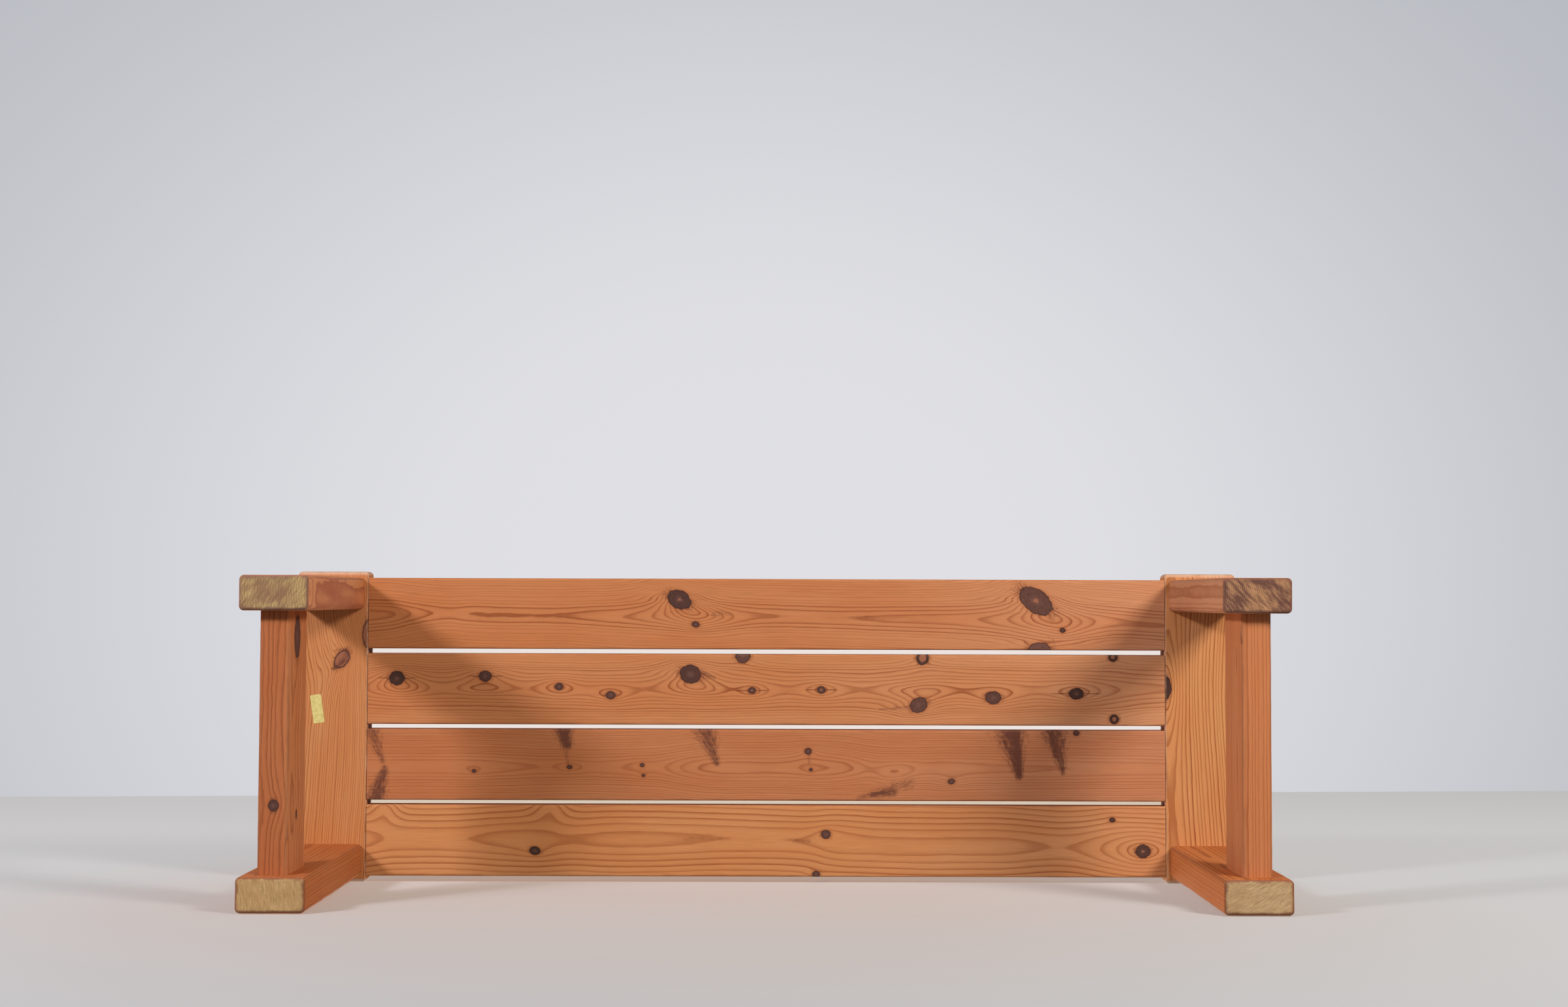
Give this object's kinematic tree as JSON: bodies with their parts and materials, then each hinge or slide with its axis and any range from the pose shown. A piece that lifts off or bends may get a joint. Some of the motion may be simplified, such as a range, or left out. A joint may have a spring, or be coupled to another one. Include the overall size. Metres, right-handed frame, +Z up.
{
  "type": "slatted pine bench",
  "caption": "Low free-standing pine bench with a slatted seat between two raised end boards, block legs and a low stretcher at each end.",
  "frame": {"origin": "on the floor, under the middle of the seat", "axes": "+Z up, X along the bench with the blank label under the -X end board, Y from front to back"},
  "size_m": [1.4, 0.46, 0.43],
  "materials": {
    "end_board_left": "satin clear lacquer over aged pine",
    "end_board_right": "satin clear lacquer over aged pine",
    "slat_1": "satin clear lacquer over aged pine",
    "slat_2": "satin clear lacquer over aged pine",
    "slat_3": "satin clear lacquer over aged pine",
    "slat_4": "satin clear lacquer over aged pine",
    "leg": "satin clear lacquer over aged pine",
    "stretcher": "satin clear lacquer over aged pine",
    "dowel": "bare beech",
    "label": "matt yellowed paper, blank"
  },
  "bodies": {
    "root": {"end_board_left": "end_board_left", "end_board_right": "end_board_right", "slat_1": "slat_1", "slat_2": "slat_2", "slat_3": "slat_3", "slat_4": "slat_4", "leg_left_front": "leg", "leg_left_back": "leg", "leg_right_front": "leg", "leg_right_back": "leg", "stretcher_left": "stretcher", "stretcher_right": "stretcher", "slat_dowels": "dowel", "leg_dowels": "dowel", "stretcher_dowels": "dowel", "blank_label": "label"}
  },
  "joints": []
}
